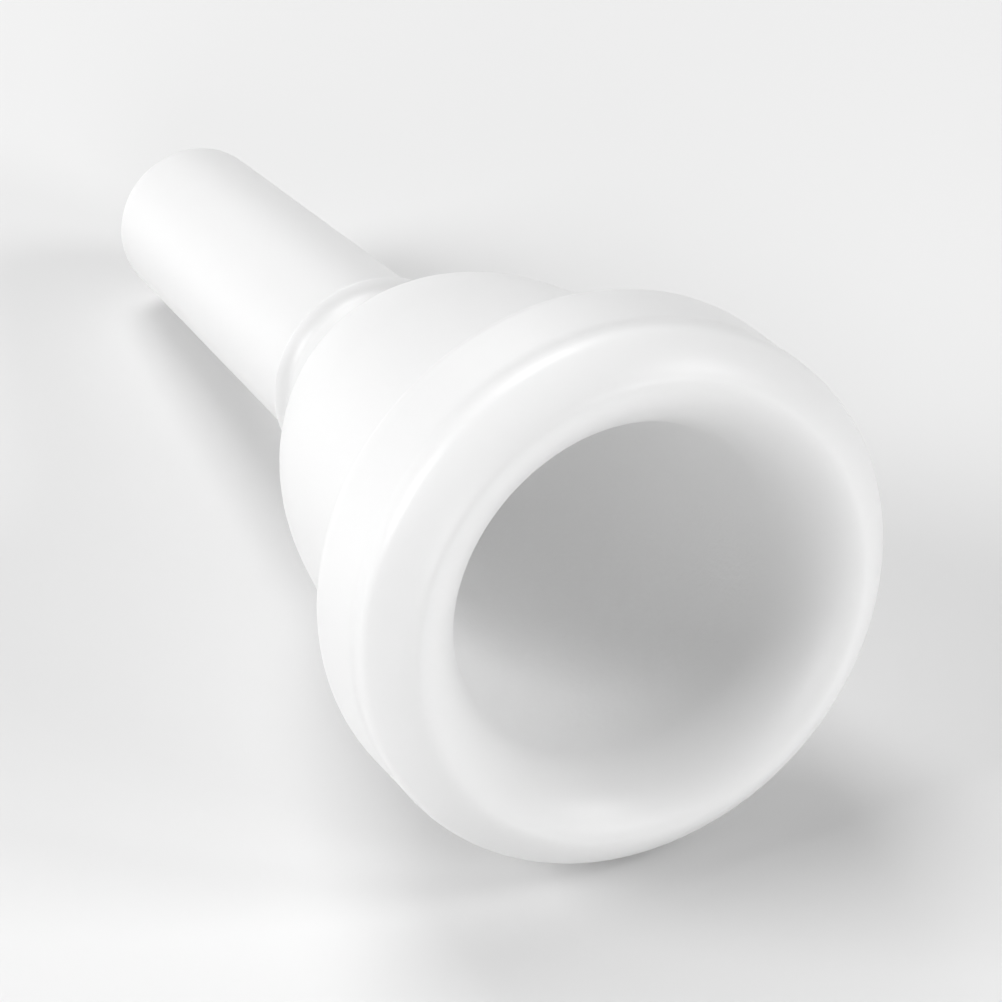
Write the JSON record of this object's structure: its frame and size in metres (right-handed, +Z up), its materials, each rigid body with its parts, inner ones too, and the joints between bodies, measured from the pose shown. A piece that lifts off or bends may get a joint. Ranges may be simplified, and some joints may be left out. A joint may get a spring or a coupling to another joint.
{
  "type": "sousaphone mouthpiece",
  "caption": "Cupped mouthpiece of a large low brass instrument: broad rounded rim, conical body rounding in to a narrow waist, small collar ring and a plain tapered shank, open right through.",
  "frame": {"origin": "middle of the bottom of the bounding box, on the plane that the mouthpiece lies on", "axes": "+Y from the rim to the shank end along that plane, +Z up; it lies on its side on the band behind the rim and on the shank end, so its own axis dips 10.4 degrees below +Y"},
  "size_m": [0.0404, 0.0878, 0.0409],
  "materials": {
    "white_plastic": "white moulded plastic with a soft gloss outside and a finely matte cup"
  },
  "bodies": {
    "root": {"mouthpiece": "white_plastic"}
  },
  "joints": []
}
